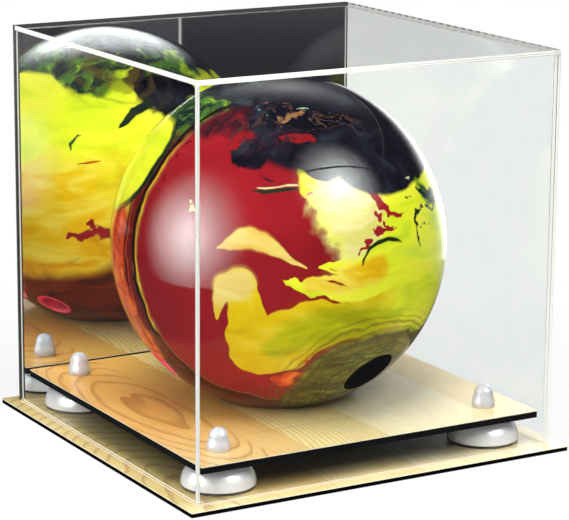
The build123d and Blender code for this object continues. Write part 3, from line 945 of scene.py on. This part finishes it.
# Mirror back: the same acrylic sheet with a silvered face towards the ball, its back painted grey.
# Glued in as the cover's fifth wall, it shows the ball, the boards and the dark room in front.
silvered, tree, place = start_material("mirror_acrylic_silvered")
wave = add(tree, "TexNoise", {"Scale": 1 / (80 * mm), "Detail": 1}, {"Vector": place})
sag = add(tree, "Bump", {"Strength": 0.02, "Distance": 0.2 * mm}, {"Height": wave})
normal = add(tree, "NewGeometry").outputs["Normal"]
facing_back = add(tree, "SeparateXYZ", {}, {"Vector": normal}).outputs["Y"]
painted = add(tree, "Math", {"operation": "GREATER_THAN", 1: 0.5}, {0: facing_back})
silver = add(tree, "BsdfGlossy", {"Color": "#E4E6E8", "Roughness": 0.0}, {"Normal": sag})
speckle = add(tree, "TexNoise", {"Scale": 1 / (1.5 * mm), "Detail": 3}, {"Vector": place})
paint_tone = add(tree, "MixRGB", {"Color1": "#6B6D70", "Color2": "#7C7E81"}, {"Fac": speckle})
paint = add(tree, "BsdfPrincipled", {"Roughness": 0.5}, {"Base Color": paint_tone})
surface = add(tree, "MixShader", {}, {0: painted, 1: silver, 2: paint})
add(tree, "OutputMaterial", {}, {"Surface": surface})

# Backed with silver, its edge gathers no light and stays dark but for one pale line
dim_edge, tree, place, through_sheet, drifted = start_edge("mirror_acrylic_cut_edge", 20 * mm, 0.2)
tone = add(tree, "ValToRGB", {}, {"Fac": drifted})
edge_stops = [(0.0, "#1C1C1E"), (1.0, "#2A2A2C")]
set_stops(tone, edge_stops + [(0.30, "#3A3A3A"), (0.45, "#6A6A66"), (0.58, "#48484A")])
surface = add(
    tree,
    "BsdfPrincipled",
    {"Roughness": 0.25, "Specular IOR Level": 0.2},
    {"Base Color": tone.outputs["Color"]},
)
add(tree, "OutputMaterial", {}, {"Surface": surface})
cut_sheet("mirror_panel_sheet", "mirror_back_panel", "cover", [silvered, dim_edge])


# Studio: a pale paper sweep that the camera sees as white, floor and background alike.
# Reflecting rays see a painted room: dark in front of the case, and white behind it.
floor_half = 3.0
floor_drop = 0.1 * mm
sweep_way = (0.75, 0.66, 0)
sweep_seen = "#F4F4F4"

floor_mesh = bpy.data.meshes.new("studio_floor")
floor_mesh.from_pydata(
    [(x, y, -floor_drop) for x, y in ((-1, -1), (1, -1), (1, 1), (-1, 1))], [], [(0, 1, 2, 3)]
)
floor_mesh.transform(Matrix.Diagonal((floor_half, floor_half, 1, 1)))
floor = bpy.data.objects.new("studio_floor", floor_mesh)
bpy.context.scene.collection.objects.link(floor)

floor_white, tree, place = start_material("white_sweep")
rays = add(tree, "LightPath")
far = add(tree, "VectorMath", {"operation": "LENGTH"}, {0: place}).outputs["Value"]
whiteness = add(
    tree, "MapRange", {**smooth, "From Min": 0.17, "From Max": 0.45, "To Min": 0.8}, {"Value": far}
)
paper = add(tree, "BsdfDiffuse", {"Color": "#CFCFCF"})
bright = add(tree, "Emission")
seen_share = add(
    tree, "Math", {"operation": "MULTIPLY"}, {0: whiteness, 1: rays.outputs["Is Camera Ray"]}
)
seen = add(tree, "MixShader", {}, {0: seen_share, 1: paper, 2: bright})
to_the_right = add(
    tree, "VectorMath", {"operation": "DOT_PRODUCT", 1: sweep_way}, {0: place}
).outputs["Value"]
behind = add(
    tree, "MapRange", {**smooth, "From Min": 0.25, "From Max": 0.5}, {"Value": to_the_right}
)
gloom = add(tree, "MapRange", {**smooth, "From Min": 0.3, "From Max": 0.95}, {"Value": far})
dark_tone = add(tree, "MixRGB", {"Color1": "#59585C", "Color2": "#2C2B30"}, {"Fac": gloom})
glossy_tone = add(tree, "MixRGB", {"Color2": sweep_seen}, {"Color1": dark_tone, "Fac": behind})
reflected = add(tree, "Emission", {}, {"Color": glossy_tone})
surface = add(tree, "MixShader", {}, {0: rays.outputs["Is Glossy Ray"], 1: seen, 2: reflected})
add(tree, "OutputMaterial", {}, {"Surface": surface})
floor_mesh.materials.append(floor_white)

world = bpy.data.worlds.new("studio_light")
world.use_nodes = True
tree = world.node_tree
tree.nodes.clear()
rays = add(tree, "LightPath")
way = add(tree, "TexCoord").outputs["Generated"]
way_parts = add(tree, "SeparateXYZ", {}, {"Vector": way})
to_the_right = add(
    tree, "VectorMath", {"operation": "DOT_PRODUCT", 1: sweep_way}, {0: way}
).outputs["Value"]
towards_back = add(
    tree, "MapRange", {**smooth, "From Min": 0.5, "From Max": 0.8}, {"Value": to_the_right}
)
low_down = add(
    tree,
    "MapRange",
    {**smooth, "From Min": 0.16, "From Max": 0.02},
    {"Value": way_parts.outputs["Z"]},
)
sweep = add(tree, "Math", {"operation": "MULTIPLY"}, {0: towards_back, 1: low_down})
codes = {"Color1": "#35343A", "Color2": sweep_seen}
reflected = add(tree, "MixRGB", codes, {"Fac": sweep})
soft_light = add(
    tree,
    "MixRGB",
    {"Color1": "#808080"},
    {"Color2": reflected, "Fac": rays.outputs["Is Glossy Ray"]},
)
shown = add(
    tree,
    "MixRGB",
    {"Color2": "#FFFFFF"},
    {"Color1": soft_light, "Fac": rays.outputs["Is Camera Ray"]},
)
background = add(tree, "Background", {}, {"Color": shown})
add(tree, "OutputWorld", {}, {"Surface": background})
bpy.context.scene.world = world


# Lamps: three soft boxes light the case from above, from the left and from the front.
# Reflection cards round it give the ball, the feet and the nuts the shapes in their gloss.
lamp_target = Vector((0, 0, 0.1))


def lamp(name, place, size, watts):
    """A soft square lamp that no shiny surface shows."""
    made = bpy.data.objects.new(name, bpy.data.lights.new(name, "AREA"))
    made.data.size = size
    made.data.energy = watts
    made.location = place
    made.rotation_euler = (Vector(place) - lamp_target).to_track_quat("Z", "Y").to_euler()
    made.visible_glossy = False
    bpy.context.scene.collection.objects.link(made)


lamp("overhead_lamp", (-0.3, -0.3, 1.5), 0.9, 24)
lamp("left_lamp", (-1.4, -0.6, 1.0), 1.0, 15)
lamp("front_lamp", (0.3, -1.3, 1.4), 0.9, 14)


def card(name, way, distance, width, height, brightness):
    """A glowing card, brightest in its middle. Gloss shows it; clear sheet and mirror don't."""
    fall = 2.2
    finish, tree, place = start_material(name, "UV")
    centred = add(tree, "Mapping", {"Location": (-1, -1, 0), "Scale": (2, 2, 0)}, {"Vector": place})
    reach = add(tree, "VectorMath", {"operation": "LENGTH"}, {0: centred}).outputs["Value"]
    falloff = add(tree, "MapRange", {"From Min": 1.0, "From Max": 0.0}, {"Value": reach})
    falloff = add(tree, "Math", {"operation": "POWER", 1: fall}, {0: falloff})
    glow = add(tree, "Math", {"operation": "MULTIPLY", 1: brightness}, {0: falloff})
    in_sheet = add(tree, "LightPath").outputs["Is Singular Ray"]
    spread = add(tree, "MapRange", {"To Min": 1.0, "To Max": 0.0}, {"Value": in_sheet})
    glow = add(tree, "Math", {"operation": "MULTIPLY"}, {0: glow, 1: spread})
    lit = add(tree, "Emission", {}, {"Strength": glow})
    clear = add(tree, "BsdfTransparent")
    surface = add(tree, "AddShader", {}, {0: lit, 1: clear})
    add(tree, "OutputMaterial", {}, {"Surface": surface})
    away = Vector(way).normalized()
    side = away.cross((0, 0, 1)).normalized() * width / 2
    rise = side.normalized().cross(away) * height / 2
    middle = ball_centre + away * distance
    mesh = bpy.data.meshes.new(name)
    mesh.from_pydata(
        [middle - side - rise, middle + side - rise, middle + side + rise, middle - side + rise],
        [],
        [(0, 1, 2, 3)],
    )
    layer = mesh.uv_layers.new(name="card")
    for loop, spot in zip(layer.data, ((0, 0), (1, 0), (1, 1), (0, 1))):
        loop.uv = spot
    mesh.materials.append(finish)
    made = bpy.data.objects.new(name, mesh)
    for ray in ("camera", "diffuse", "shadow", "transmission"):
        setattr(made, f"visible_{ray}", False)
    bpy.context.scene.collection.objects.link(made)


card("card_left", (-0.361, -0.031, 0.068), 0.368, 0.62, 0.62, 68)
card("card_above_right", (0.311, -0.673, 0.671), 1.4, 1.8, 1.8, 82)
card("card_behind", (0.40, 0.62, 0.68), 1.6, 1.9, 1.7, 3.6)
card("card_right", (0.44, 0.24, -0.005), 0.5, 0.6, 0.45, 8)
